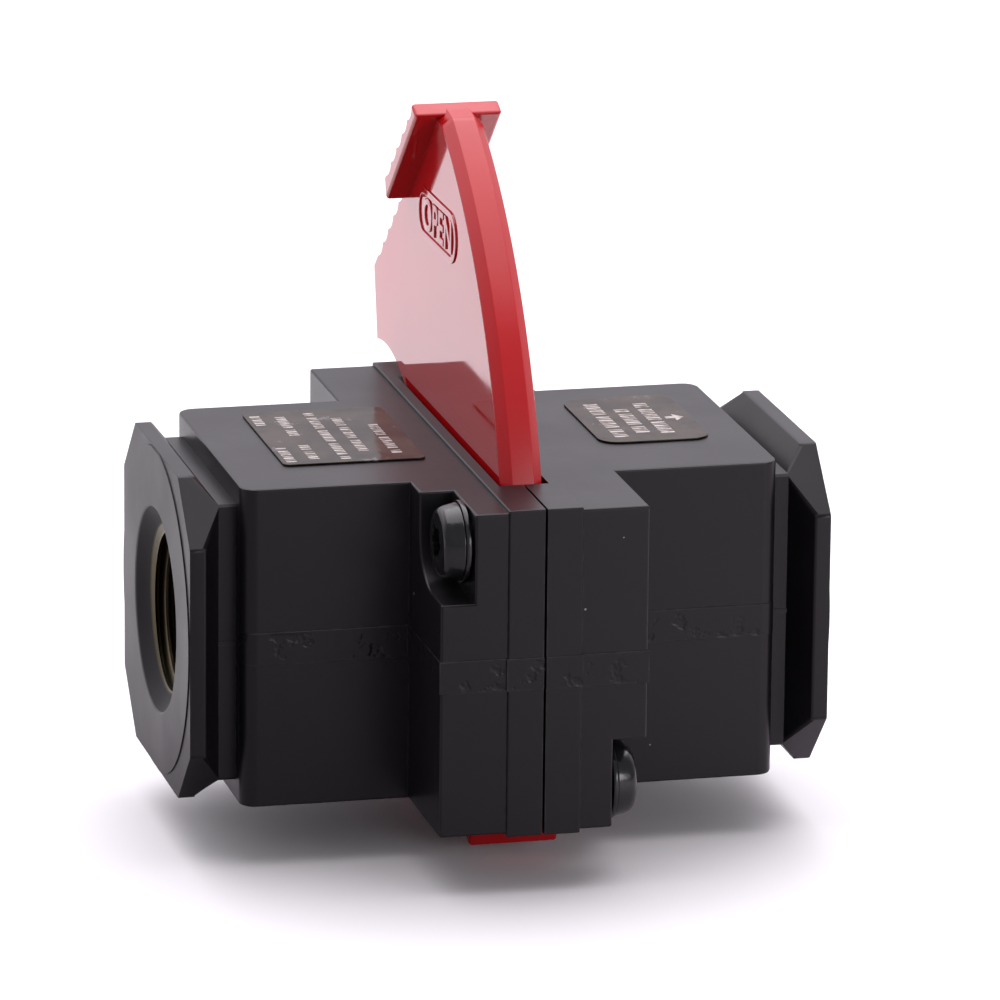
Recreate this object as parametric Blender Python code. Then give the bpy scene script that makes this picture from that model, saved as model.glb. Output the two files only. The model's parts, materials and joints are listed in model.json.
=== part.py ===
"""In-line shut-off and vent valve: two cast halves clamped on a curved slide.

Frame: the origin is where the bore's axis crosses the plane between the halves.
+X is the way the air flows, -Y is the front, +Z is up. Sizes are in metres.
The slide is at rest in its open place, with its flow hole in line with the bore.
"""

import math

import bmesh
import bpy

MM = 0.001

# Clearances
TOUCH_GAP = 0.3 * MM  # between pieces that touch
SCREW_GAP = 0.3 * MM  # round a screw's shank or a dowel
LABEL_GAP = 0.1 * MM  # the glue under a label

# Body
LENGTH = 80 * MM  # from one port face to the other
BODY_HALF_H = 19.9 * MM
SIDE_HALF_W = 19.83 * MM
SIDE_CORNER_R = 2 * MM
CENTRE_HALF_L = 12.74 * MM
STRIP_HALF_L = 4.55 * MM  # raised band on each side of the split
STRIP_PROUD = 0.3 * MM

# Port flange and neck
FLANGE_HALF_W = 20.5 * MM
FLANGE_HALF_H = 20.25 * MM
FLANGE_CORNER_CUT = 7.35 * MM
FLANGE_RIM = 2.15 * MM
FLANGE_BEVEL = 2.35 * MM
NECK_LENGTH = 2.16 * MM  # from the side block to the bevel
NECK_INSET_W = 4.1 * MM
NECK_INSET_H = 2.95 * MM

# Bore
PORT_MOUTH_R = 12.65 * MM
PORT_CONE_R = 11.2 * MM
PORT_CONE_DEPTH = 1.9 * MM
THREAD_R = 10.48 * MM  # half-inch pipe thread
THREAD_DEPTH = 17 * MM
PASSAGE_R = 8.5 * MM

# Seats
SEAT_WALL = 4.2 * MM
SEAT_LENGTH = 2.4 * MM
O_RING_SECTION = 1.8 * MM

# Slide
SWING_OFFSET = 37.5 * MM  # from the bore's axis back to the slide's axis of swing
SWING_HALF_DEG = 21.4  # the slide swings this far each side of its middle place
SLIDE_THICK = 5.2 * MM
SLIDE_REACH = 28.1 * MM  # from the bore's axis to the slide's front edge
SLOT_REAR = 27.9 * MM  # from the bore's axis back to the slot's end on the body's top face
SLIDE_CHAMFER = 1.25 * MM
HEEL_DEG = 80.8  # from the slide's middle line to each heel
SLOT_SIDE_GAP = 0.5 * MM
FRONT_WALL = 8.2 * MM  # body in front of the slide

# Finger pads
PAD_HALF_W = 5.4 * MM
PAD_THICK = 2.85 * MM
PAD_LENGTH = 19 * MM
PAD_LIP = 0.5 * MM  # the front edge stands over the ridges
PAD_LIFT = 4.95 * MM  # over the body, measured level with the slide's axis
PAD_TILT_DEG = 2.7
RIDGE_PITCH = 3.85 * MM
RIDGE_HEIGHT = 0.5 * MM
RIDGE_COUNT = 5  # on the pad, and again on the plate's edge behind it
PAD_RIDGE_START = 2.7 * MM  # from the pad's front to its first ridge
PLATE_RIDGE_START = 1.8 * MM  # from the pad's back to the plate's first ridge

# Vent in the slide's outlet face
VENT_R = 6 * MM
VENT_GROOVE_HALF_W = 2 * MM
VENT_DEPTH = 1.8 * MM
VENT_END_LIFT = 3.5 * MM  # how far the groove clears the body when closed

# Screws, washers and dowels
SCREW_INSET_W = 5.3 * MM
SCREW_INSET_H = 4.6 * MM
SCREW_R = 2.5 * MM
HEAD_R = 4.7 * MM
HEAD_TAPER = 0.5 * MM
HEAD_HEIGHT = 2.35 * MM
HEAD_ROUND = 0.7 * MM
DRIVE_R = 2.3 * MM
DRIVE_DEPTH = 1.5 * MM
WASHER_R = 4.95 * MM
WASHER_THICK = 0.6 * MM
RECESS_R = 6.3 * MM
RECESS_FLOOR = 8.6 * MM  # from the split plane
SCREW_TIP = 8 * MM  # past the split plane
TAPPED_DEPTH = 9.5 * MM
DOWEL_R = 1.5 * MM
DOWEL_HALF_L = 4 * MM
DOWEL_END_GAP = 0.4 * MM

# Labels, on the top
LABEL_THICK = 0.15 * MM
RATING_LABEL_L = 17.7 * MM
RATING_LABEL_W = 25.1 * MM
RATING_LABEL_FROM_STRIP = 3.85 * MM
RATING_LABEL_BACK = 2.45 * MM  # its middle is behind the bore's axis
RATING_LABEL_R = 0.4 * MM
VENT_LABEL_L = 14 * MM
VENT_LABEL_W = 21.4 * MM
VENT_LABEL_FROM_CENTRE = 1.46 * MM  # from the centre block's end
VENT_LABEL_BACK = 2.9 * MM
VENT_LABEL_R = 2.5 * MM

# How finely round shapes are drawn
BORE_SIDES = 48
SCREW_SIDES = 24
RING_SIDES = 10
ARC_STEPS = 18
CORNER_STEPS = 4

# Worked out from the sizes above
half_length = LENGTH / 2
split_face = TOUCH_GAP / 2
strip_half_h = BODY_HALF_H + STRIP_PROUD
slide_half = SLIDE_THICK / 2
slot_half = slide_half + SLOT_SIDE_GAP
slide_outer_r = SWING_OFFSET + SLIDE_REACH
boss_r = math.hypot(BODY_HALF_H, SWING_OFFSET - SLOT_REAR)  # half moon that guides the slide
slide_inner_r = boss_r + TOUCH_GAP
centre_half_w = SLIDE_REACH + FRONT_WALL
side_end = half_length - FLANGE_RIM - FLANGE_BEVEL - NECK_LENGTH
corner_sum = FLANGE_HALF_W + FLANGE_HALF_H - FLANGE_CORNER_CUT
swing_half = math.radians(SWING_HALF_DEG)
pad_line = strip_half_h + PAD_LIFT + PAD_THICK  # pads' outer face from the swing axis
pad_angle = math.pi / 2 + swing_half - math.radians(PAD_TILT_DEG)
pad_nose_r = slide_outer_r - SLIDE_CHAMFER  # the pads' front faces are part of the slide's curve
pad_top = pad_line + PAD_LIP
pad_under = pad_line - PAD_THICK
pad_front = math.sqrt(pad_nose_r ** 2 - pad_top ** 2)
pad_back = pad_front - PAD_LENGTH
seat_inner_r = PASSAGE_R + TOUCH_GAP
seat_outer_r = seat_inner_r + SEAT_WALL
seat_face = slide_half + TOUCH_GAP
seat_back = seat_face + SEAT_LENGTH
o_ring_x = seat_back + TOUCH_GAP + O_RING_SECTION / 2
pocket_floor = o_ring_x + O_RING_SECTION / 2 + TOUCH_GAP
pocket_r = seat_outer_r + TOUCH_GAP
screw_y = centre_half_w - SCREW_INSET_W
screw_z = BODY_HALF_H - SCREW_INSET_H
washer_x = RECESS_FLOOR + TOUCH_GAP
head_x = washer_x + WASHER_THICK + TOUCH_GAP
front_wall_face = SLIDE_REACH + TOUCH_GAP
dowel_front_y = -(front_wall_face + centre_half_w) / 2
boss_face = SWING_OFFSET - boss_r
dowel_rear_y = (boss_face + centre_half_w) / 2


def material(name, colour, roughness, metallic):
    finish = bpy.data.materials.new(name)
    finish.use_nodes = True
    shader = finish.node_tree.nodes["Principled BSDF"]
    shader.inputs["Base Color"].default_value = (*colour, 1)
    shader.inputs["Roughness"].default_value = roughness
    shader.inputs["Metallic"].default_value = metallic
    return finish


def add_object(name, mesh, finish=None, location=(0, 0, 0), rotation=(0, 0, 0)):
    piece = bpy.data.objects.new(name, mesh)
    piece.location = location
    piece.rotation_euler = rotation
    if finish:
        mesh.materials.clear()
        mesh.materials.append(finish)
    bpy.context.scene.collection.objects.link(piece)
    return piece


def mesh_from(bm, name):
    bmesh.ops.recalc_face_normals(bm, faces=bm.faces)
    mesh = bpy.data.meshes.new(name)
    bm.to_mesh(mesh)
    bm.free()
    mesh.shade_smooth()
    mesh.set_sharp_from_angle(angle=math.radians(30))
    return mesh


def prism(name, outline, low, high, axis="X"):
    """An outline extruded along X from low to high, or along Z."""
    bm = bmesh.new()
    if axis == "X":
        points = [(low, a, b) for a, b in outline]
        step = (high - low, 0, 0)
    else:
        points = [(a, b, low) for a, b in outline]
        step = (0, 0, high - low)
    face = bm.faces.new([bm.verts.new(point) for point in points])
    grown = bmesh.ops.extrude_face_region(bm, geom=[face])
    moved = [item for item in grown["geom"] if isinstance(item, bmesh.types.BMVert)]
    bmesh.ops.translate(bm, verts=moved, vec=step)
    return mesh_from(bm, name)


def turned(name, profile, sides):
    """A closed (x, radius) profile turned about the X axis. Points at radius 0 close the ends."""
    bm = bmesh.new()
    verts = [bm.verts.new((x, 0, radius)) for x, radius in profile]
    edges = [bm.edges.new(pair) for pair in zip(verts, verts[1:] + verts[:1])]
    bmesh.ops.spin(
        bm, geom=verts + edges, cent=(0, 0, 0), axis=(1, 0, 0),
        angle=2 * math.pi, steps=sides, use_merge=True,
    )
    bmesh.ops.remove_doubles(bm, verts=bm.verts, dist=1e-6)
    loose = [edge for edge in bm.edges if not edge.link_faces]
    bmesh.ops.delete(bm, geom=loose, context="EDGES")
    return mesh_from(bm, name)


def box_outline(low_a, high_a, low_b, high_b):
    return [(low_a, low_b), (high_a, low_b), (high_a, high_b), (low_a, high_b)]


def arc(radius, start, end, steps, centre=(0, 0)):
    """Points on an arc; angles run from the first axis towards the second."""
    angles = [start + (end - start) * step / steps for step in range(steps + 1)]
    return [(centre[0] + radius * math.cos(a), centre[1] + radius * math.sin(a)) for a in angles]


def rounded_box(low_a, high_a, low_b, high_b, radius):
    quarter = math.pi / 2
    corners = [
        (low_a + radius, low_b + radius, 2),
        (high_a - radius, low_b + radius, 3),
        (high_a - radius, high_b - radius, 0),
        (low_a + radius, high_b - radius, 1),
    ]
    outline = []
    for a, b, turn in corners:
        outline += arc(radius, turn * quarter, (turn + 1) * quarter, CORNER_STEPS, (a, b))
    return outline


def combine(piece, name, mesh, operation="DIFFERENCE", place=(0, 0, 0)):
    tool = add_object(name, mesh, location=place)
    tool.hide_render = True
    tool.display_type = "WIRE"
    step = piece.modifiers.new(name, "BOOLEAN")
    step.operation = operation
    step.solver = "EXACT"
    step.object = tool


def apply_modifiers(piece, name):
    """The piece's mesh with its modifiers done, for pieces that share it."""
    bpy.context.view_layer.update()
    graph = bpy.context.evaluated_depsgraph_get()
    mesh = bpy.data.meshes.new_from_object(piece.evaluated_get(graph))
    mesh.name = name
    tools = [step.object for step in piece.modifiers if step.type == "BOOLEAN"]
    for tool in tools:
        bpy.data.objects.remove(tool)
    bpy.data.objects.remove(piece)
    return mesh


# ---------------------------------------------------------------- body


def octagon(half_w, half_h, cut_sum):
    """A rectangle whose corners are cut where |y| + |z| reaches cut_sum."""
    quarter = [(half_w, cut_sum - half_w), (cut_sum - half_h, half_h)]
    half = quarter + [(-y, z) for y, z in reversed(quarter)]
    return half + [(-y, -z) for y, z in half]


def neck_and_flange():
    """The neck grows along a bevel into the octagonal port flange."""
    neck_w = FLANGE_HALF_W - NECK_INSET_W
    neck_h = FLANGE_HALF_H - NECK_INSET_H
    rim_back = -half_length + FLANGE_RIM
    sections = [
        (-side_end + SIDE_CORNER_R, neck_w, neck_h),
        (rim_back + FLANGE_BEVEL, neck_w, neck_h),
        (rim_back, FLANGE_HALF_W, FLANGE_HALF_H),
        (-half_length, FLANGE_HALF_W, FLANGE_HALF_H),
    ]
    bm = bmesh.new()
    rings = []
    for x, half_w, half_h in sections:
        ring = [bm.verts.new((x, y, z)) for y, z in octagon(half_w, half_h, corner_sum)]
        rings.append(ring)
    for ring, following in zip(rings, rings[1:]):
        for index in range(len(ring)):
            after = (index + 1) % len(ring)
            bm.faces.new((ring[index], ring[after], following[after], following[index]))
    bm.faces.new(rings[0])
    bm.faces.new(rings[-1])
    return mesh_from(bm, "neck_and_flange")


def block_outline():
    """Plan of one half: the centre block and the side block, whose outer corners are round."""
    inside = -(split_face + STRIP_HALF_L) / 2
    quarter = math.pi / 2
    x_round = -side_end + SIDE_CORNER_R
    y_round = SIDE_HALF_W - SIDE_CORNER_R
    outline = [(inside, -centre_half_w), (-CENTRE_HALF_L, -centre_half_w)]
    outline += [(-CENTRE_HALF_L, -SIDE_HALF_W)]
    outline += arc(SIDE_CORNER_R, 3 * quarter, 2 * quarter, CORNER_STEPS, (x_round, -y_round))
    outline += arc(SIDE_CORNER_R, 2 * quarter, quarter, CORNER_STEPS, (x_round, y_round))
    outline += [(-CENTRE_HALF_L, SIDE_HALF_W)]
    outline += [(-CENTRE_HALF_L, centre_half_w), (inside, centre_half_w)]
    return outline


def slot_outline():
    """The slide's curved path through the body, in (y, z)."""
    reach = math.radians(HEEL_DEG) + 2 * swing_half
    start = math.pi - reach
    end = math.pi + reach
    centre = (SWING_OFFSET, 0)
    inner = arc(boss_r, start, end, 2 * ARC_STEPS, centre)
    outer = arc(slide_outer_r + TOUCH_GAP, end, start, 3 * ARC_STEPS, centre)
    return inner + outer


def bore_profile():
    """Port mouth, thread, passage and seat pocket, from the face to the slot."""
    thread_end = -half_length + THREAD_DEPTH
    return [
        (-half_length - FLANGE_RIM, 0),
        (-half_length - FLANGE_RIM, PORT_MOUTH_R),
        (-half_length, PORT_MOUTH_R),
        (-half_length + PORT_CONE_DEPTH, PORT_CONE_R),
        (-half_length + PORT_CONE_DEPTH, THREAD_R),
        (thread_end, THREAD_R),
        (thread_end + THREAD_R - PASSAGE_R, PASSAGE_R),
        (-pocket_floor, PASSAGE_R),
        (-pocket_floor, pocket_r),
        (-slide_half, pocket_r),
        (-slide_half, 0),
    ]


def recess_outline(side):
    """Room for a screw's head: round inside, open to the front and top, or to the rear and bottom."""
    past = RECESS_R + SCREW_INSET_W
    inner = arc(RECESS_R, 0, math.pi / 2, 2 * CORNER_STEPS)
    outline = [(past, -RECESS_R), (past, past), (-RECESS_R, past), (-RECESS_R, 0)]
    outline += [(-y, -z) for y, z in inner[1:]]
    return [(-side * y, side * z) for y, z in outline]


def body_half():
    """The inlet half. Turned half a turn about Y, the same casting is the outlet half."""
    half = add_object("half", prism("half", block_outline(), -BODY_HALF_H, BODY_HALF_H, "Z"))
    strip_half_w = centre_half_w + STRIP_PROUD
    strip = box_outline(-strip_half_w, strip_half_w, -strip_half_h, strip_half_h)
    combine(half, "strip", prism("strip", strip, -STRIP_HALF_L, -split_face), "UNION")
    combine(half, "flange", neck_and_flange(), "UNION")
    combine(half, "slot", prism("slot", slot_outline(), -slot_half, slot_half))
    combine(half, "bore", turned("bore", bore_profile(), BORE_SIDES))
    hole_r = SCREW_R + SCREW_GAP
    past_floor = -RECESS_FLOOR - SCREW_R
    through = [(past_floor, 0), (past_floor, hole_r), (SCREW_R, hole_r), (SCREW_R, 0)]
    tapped = [(-TAPPED_DEPTH, 0), (-TAPPED_DEPTH, hole_r), (SCREW_R, hole_r), (SCREW_R, 0)]
    for side in (1, -1):
        place = (0, -side * screw_y, side * screw_z)
        pocket = prism("recess", recess_outline(side), -CENTRE_HALF_L - SCREW_R, -RECESS_FLOOR)
        combine(half, "recess", pocket, place=place)
        combine(half, "screw_hole", turned("screw_hole", through, SCREW_SIDES), place=place)
        opposite = (0, place[1], -place[2])
        combine(half, "tapped_hole", turned("tapped_hole", tapped, SCREW_SIDES), place=opposite)
    dowel_hole_r = DOWEL_R + SCREW_GAP
    dowel_end = -DOWEL_HALF_L - DOWEL_END_GAP
    dowel = [(dowel_end, 0), (dowel_end, dowel_hole_r), (DOWEL_R, dowel_hole_r), (DOWEL_R, 0)]
    for y in (dowel_front_y, dowel_rear_y):
        combine(half, "dowel_hole", turned("dowel_hole", dowel, SCREW_SIDES), place=(0, y, 0))
    return apply_modifiers(half, "body_half")


def add_body():
    paint = material("black_cast_paint", (0.022, 0.021, 0.024), 0.38, 0.0)
    mesh = body_half()
    add_object("inlet_body", mesh, paint)
    add_object("outlet_body", mesh, paint, rotation=(0, math.pi, 0))


# ---------------------------------------------------------------- slide
# The slide is drawn about its axis of swing: u runs out along its middle line, v across it.


def pad_point(along, height):
    """A point of the upper pad: along its outer face towards the front, height from the swing axis."""
    u = height * math.cos(pad_angle) + along * math.sin(pad_angle)
    v = height * math.sin(pad_angle) - along * math.cos(pad_angle)
    return (u, v)


def ridge_line(first_tip):
    """Sharp ridges with hollows between them, from the one nearest the front."""
    points = []
    for ridge in range(RIDGE_COUNT):
        tip = first_tip - ridge * RIDGE_PITCH
        points.append(pad_point(tip, pad_line))
        if ridge < RIDGE_COUNT - 1:
            points.append(pad_point(tip - 0.25 * RIDGE_PITCH, pad_line - RIDGE_HEIGHT))
            points.append(pad_point(tip - 0.7 * RIDGE_PITCH, pad_line - RIDGE_HEIGHT))
    return points


def nose_point(height):
    return pad_point(math.sqrt(pad_nose_r ** 2 - height ** 2), height)


def upper_pad_outline():
    outline = [nose_point(pad_under), nose_point((pad_under + pad_top) / 2), nose_point(pad_top)]
    outline += ridge_line(pad_front - PAD_RIDGE_START)
    return outline + [pad_point(pad_back, pad_line), pad_point(pad_back, pad_under)]


def plate_outline():
    """Outer arc, line inside the upper pad, ridges behind it, heel, inner arc, and the same below."""
    inside_pad = pad_line - PAD_THICK / 2
    arc_top = pad_point(math.sqrt(slide_outer_r ** 2 - inside_pad ** 2), inside_pad)
    arc_end = math.asin(arc_top[1] / slide_outer_r)
    heel = math.radians(HEEL_DEG)
    heel_r = pad_line / math.cos(pad_angle - heel)
    upper = [pad_point(pad_back + PAD_THICK / 2, inside_pad)]
    upper += ridge_line(pad_back - PLATE_RIDGE_START)
    upper += [(heel_r * math.cos(heel), heel_r * math.sin(heel))]
    lower = [(u, -v) for u, v in reversed(upper)]
    outer = arc(slide_outer_r, -arc_end, arc_end, 3 * ARC_STEPS)
    inner = arc(slide_inner_r, heel, -heel, 2 * ARC_STEPS)
    return outer + upper + inner + lower


def slide_plate():
    """The plate, with both rims of its outer arc chamfered."""
    outline = [(-u, v) for u, v in plate_outline()]
    mesh = prism("plate", outline, -slide_half, slide_half)
    bm = bmesh.new()
    bm.from_mesh(mesh)
    on_arc = slide_outer_r - 1e-6
    rims = []
    for edge in bm.edges:
        ends = [math.hypot(vert.co.y, vert.co.z) for vert in edge.verts]
        level = abs(edge.verts[0].co.x - edge.verts[1].co.x) < 1e-6
        if level and min(ends) > on_arc:
            rims.append(edge)
    bmesh.ops.bevel(bm, geom=rims, offset=SLIDE_CHAMFER, segments=1, affect="EDGES", profile=0.5)
    bmesh.ops.dissolve_degenerate(bm, dist=1e-6, edges=bm.edges)
    bpy.data.meshes.remove(mesh)
    return mesh_from(bm, "plate")


def vent_outline():
    """A groove in the outlet face, from the place that meets the bore when closed to above the body."""
    start = swing_half
    end = swing_half + math.asin((strip_half_h + VENT_END_LIFT) / SWING_OFFSET)
    inner = arc(SWING_OFFSET - VENT_GROOVE_HALF_W, start, end, ARC_STEPS)
    outer = arc(SWING_OFFSET + VENT_GROOVE_HALF_W, end, start, ARC_STEPS)
    return [(-u, v) for u, v in inner + outer]


def add_slide():
    plastic = material("red_plastic", (0.42, 0.006, 0.012), 0.18, 0.0)
    raw = add_object("slide_raw", slide_plate())
    for side in (1, -1):
        outline = [(-u, side * v) for u, v in upper_pad_outline()]
        combine(raw, "pad", prism("pad", outline, -PAD_HALF_W, PAD_HALF_W), "UNION")
    hole = [(-SLIDE_THICK, 0), (-SLIDE_THICK, PASSAGE_R), (SLIDE_THICK, PASSAGE_R), (SLIDE_THICK, 0)]
    hole_place = (0, -SWING_OFFSET * math.cos(swing_half), -SWING_OFFSET * math.sin(swing_half))
    combine(raw, "flow_hole", turned("flow_hole", hole, BORE_SIDES), place=hole_place)
    vent_floor = slide_half - VENT_DEPTH
    pocket = [(vent_floor, 0), (vent_floor, VENT_R), (SLIDE_THICK, VENT_R), (SLIDE_THICK, 0)]
    pocket_place = (0, hole_place[1], -hole_place[2])
    combine(raw, "vent_pocket", turned("vent_pocket", pocket, BORE_SIDES), place=pocket_place)
    combine(raw, "vent_groove", prism("vent_groove", vent_outline(), vent_floor, SLIDE_THICK))
    mesh = apply_modifiers(raw, "shutoff_slide")
    axis = (0, SWING_OFFSET, 0)
    add_object("shutoff_slide", mesh, plastic, location=axis, rotation=(-swing_half, 0, 0))


# ---------------------------------------------------------------- seats, fasteners and labels


def add_seats():
    seat_plastic = material("white_seat_plastic", (0.78, 0.77, 0.73), 0.35, 0.0)
    rubber = material("black_rubber", (0.02, 0.02, 0.02), 0.7, 0.0)
    seat = [(-seat_back, seat_inner_r), (-seat_back, seat_outer_r)]
    seat += [(-seat_face, seat_outer_r), (-seat_face, seat_inner_r)]
    ring_mesh = turned("seat_ring", seat, BORE_SIDES)
    section_r = O_RING_SECTION / 2
    middle_r = (seat_inner_r + seat_outer_r) / 2
    section = arc(section_r, 0, 2 * math.pi, RING_SIDES, (-o_ring_x, middle_r))[:-1]
    o_ring_mesh = turned("o_ring", section, BORE_SIDES)
    for side, turn in (("inlet", 0), ("outlet", math.pi)):
        add_object(side + "_seat_ring", ring_mesh, seat_plastic, rotation=(0, turn, 0))
        add_object(side + "_o_ring", o_ring_mesh, rubber, rotation=(0, turn, 0))


def screw_mesh():
    """Tapered round head with a hexagonal drive, and a plain shank with a pointed end."""
    head_top = -head_x - HEAD_HEIGHT
    crown_centre = (head_top + HEAD_ROUND, HEAD_R - HEAD_TAPER - HEAD_ROUND)
    crown = arc(HEAD_ROUND, math.pi / 2, math.pi, CORNER_STEPS, crown_centre)
    tip_cone = SCREW_R / 2
    profile = [(SCREW_TIP, 0), (SCREW_TIP, SCREW_R - tip_cone), (SCREW_TIP - tip_cone, SCREW_R)]
    profile += [(-head_x, SCREW_R), (-head_x, HEAD_R)]
    profile += crown
    profile += [(head_top, 0)]
    screw = add_object("screw_raw", turned("screw", profile, SCREW_SIDES))
    drive = arc(DRIVE_R, 0, 2 * math.pi, 6)[:-1]
    combine(screw, "drive", prism("drive", drive, head_top - DRIVE_DEPTH, head_top + DRIVE_DEPTH))
    return apply_modifiers(screw, "body_screw")


def add_fasteners():
    steel = material("black_screw_steel", (0.018, 0.018, 0.02), 0.22, 0.6)
    pin_steel = material("bright_pin_steel", (0.55, 0.55, 0.56), 0.3, 1.0)
    screw = screw_mesh()
    washer_back = -washer_x - WASHER_THICK
    bore_r = SCREW_R + SCREW_GAP
    washer_profile = [(washer_back, bore_r), (washer_back, WASHER_R)]
    washer_profile += [(-washer_x, WASHER_R), (-washer_x, bore_r)]
    washer = turned("washer", washer_profile, SCREW_SIDES)
    for side, turn in (("inlet", 0), ("outlet", math.pi)):
        flip = 1 if side == "inlet" else -1
        for level, sign in (("front", 1), ("rear", -1)):
            place = (0, -sign * screw_y, flip * sign * screw_z)
            add_object(f"{side}_{level}_screw", screw, steel, place, (0, turn, 0))
            add_object(f"{side}_{level}_washer", washer, steel, place, (0, turn, 0))
    dowel = [(-DOWEL_HALF_L, 0), (-DOWEL_HALF_L, DOWEL_R), (DOWEL_HALF_L, DOWEL_R), (DOWEL_HALF_L, 0)]
    dowel_mesh = turned("dowel", dowel, SCREW_SIDES)
    add_object("front_dowel", dowel_mesh, pin_steel, (0, dowel_front_y, 0))
    add_object("rear_dowel", dowel_mesh, pin_steel, (0, dowel_rear_y, 0))


def add_label(name, x_from, x_to, middle_y, width, radius):
    brown = material(name + "_film", (0.16, 0.12, 0.09), 0.4, 0.2)
    outline = rounded_box(x_from, x_to, middle_y - width / 2, middle_y + width / 2, radius)
    low = BODY_HALF_H + LABEL_GAP
    add_object(name, prism(name, outline, low, low + LABEL_THICK, "Z"), brown)


def add_labels():
    rating_end = -STRIP_HALF_L - RATING_LABEL_FROM_STRIP
    rating_start = rating_end - RATING_LABEL_L
    add_label("rating_label", rating_start, rating_end, RATING_LABEL_BACK, RATING_LABEL_W, RATING_LABEL_R)
    vent_start = CENTRE_HALF_L + VENT_LABEL_FROM_CENTRE
    vent_end = vent_start + VENT_LABEL_L
    add_label("vent_label", vent_start, vent_end, VENT_LABEL_BACK, VENT_LABEL_W, VENT_LABEL_R)


for leftover in list(bpy.data.objects):
    bpy.data.objects.remove(leftover)
add_body()
add_slide()
add_seats()
add_fasteners()
add_labels()
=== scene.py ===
import json
import math

import bmesh
import bpy
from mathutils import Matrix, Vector


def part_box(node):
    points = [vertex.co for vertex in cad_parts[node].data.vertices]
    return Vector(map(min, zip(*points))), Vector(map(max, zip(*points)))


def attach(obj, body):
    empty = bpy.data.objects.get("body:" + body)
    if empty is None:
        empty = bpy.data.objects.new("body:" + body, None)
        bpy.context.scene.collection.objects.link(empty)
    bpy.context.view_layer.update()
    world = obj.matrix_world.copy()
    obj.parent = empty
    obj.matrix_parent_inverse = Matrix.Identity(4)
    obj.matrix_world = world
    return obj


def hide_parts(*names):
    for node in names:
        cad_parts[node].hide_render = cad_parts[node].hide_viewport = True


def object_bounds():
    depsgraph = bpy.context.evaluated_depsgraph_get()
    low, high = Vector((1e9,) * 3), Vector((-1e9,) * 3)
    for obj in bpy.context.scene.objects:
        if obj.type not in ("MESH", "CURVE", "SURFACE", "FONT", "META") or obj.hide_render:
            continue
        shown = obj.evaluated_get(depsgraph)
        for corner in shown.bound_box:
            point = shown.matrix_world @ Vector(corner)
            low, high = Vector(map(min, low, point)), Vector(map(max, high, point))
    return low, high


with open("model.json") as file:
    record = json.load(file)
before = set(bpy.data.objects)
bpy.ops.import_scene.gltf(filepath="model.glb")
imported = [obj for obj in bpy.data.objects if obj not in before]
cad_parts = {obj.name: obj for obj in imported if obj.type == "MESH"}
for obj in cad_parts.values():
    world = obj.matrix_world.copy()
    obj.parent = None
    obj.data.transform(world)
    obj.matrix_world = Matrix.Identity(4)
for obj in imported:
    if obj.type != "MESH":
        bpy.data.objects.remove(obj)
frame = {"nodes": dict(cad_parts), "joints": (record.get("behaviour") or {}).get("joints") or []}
cad_low, cad_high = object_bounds()
MM = 0.001
QUARTER = math.pi / 2


# ---------------------------------------------------------------- body castings
# Two like halves die-cast in light alloy, sprayed satin black and clamped face to face.
# Each has a square barrel with an eight-sided port flange, a wide centre block with
# pockets for the screws, and a tapped port. The parting line of the die runs round it.

BARREL_HALF_W = 19.83 * MM
BARREL_HALF_H = 19.9 * MM
BARREL_END = 33.34 * MM
BARREL_CORNER_R = 2 * MM
CENTRE_HALF_L = 12.74 * MM
CENTRE_HALF_W = 36.3 * MM
STRIP_HALF_L = 4.55 * MM
NECK_HALF_W = 16.4 * MM
NECK_HALF_H = 17.3 * MM
FLANGE_HALF_W = 20.5 * MM
FLANGE_HALF_H = 20.25 * MM
FLANGE_CORNER_SUM = 33.4 * MM  # |y| + |z| on the flange's slanting corners
FLANGE_RIM = 2.15 * MM
FLANGE_BEVEL = 2.35 * MM
FLASH_HALF_H = 2 * MM
FLASH_PROUD = 0.16 * MM
FIN_PROUD = 0.12 * MM
CAST_EDGE_R = 0.32 * MM
FACE_TURNED_R = 20.2 * MM
SKIM_DEPTH = 0.16 * MM
THREAD_PITCH = 1.814 * MM
THREAD_TURNS = 8
THREAD_DEPTH = 17 * MM
THREAD_ROOT_R = 10.48 * MM
THREAD_CREST_R = 9.35 * MM
PASSAGE_R = 8.5 * MM
SLOT_HALF = 3.1 * MM
SLOT_OUTER_R = 65.9 * MM
HALF_MOON_R = 22.095 * MM
RECESS_R = 6.3 * MM
RECESS_FLOOR = 8.6 * MM
SCREW_HOLE_R = 2.8 * MM
PIN_HOLE_R = 1.8 * MM


def name_piece(name):
    """Names the primitive just added and puts its place, turn and size into its mesh."""
    piece = bpy.context.object
    piece.name = name
    piece.data.name = name
    bpy.ops.object.transform_apply(location=True, rotation=True, scale=True)
    return piece


def add_block(name, low, high):
    bpy.ops.object.select_all(action="DESELECT")
    middle = [(a + b) / 2 for a, b in zip(low, high)]
    size = [b - a for a, b in zip(low, high)]
    bpy.ops.mesh.primitive_cube_add(size=1, location=middle, scale=size)
    return name_piece(name)


def add_rod(name, x_from, x_to, radius, y=0, z=0, sides=96):
    """A plain rod along X, for a bore or a boss."""
    bpy.ops.object.select_all(action="DESELECT")
    bpy.ops.mesh.primitive_cone_add(
        vertices=sides, radius1=radius, radius2=radius,
        depth=x_to - x_from, location=((x_from + x_to) / 2, y, z), rotation=(0, QUARTER, 0),
    )
    return name_piece(name)


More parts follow.
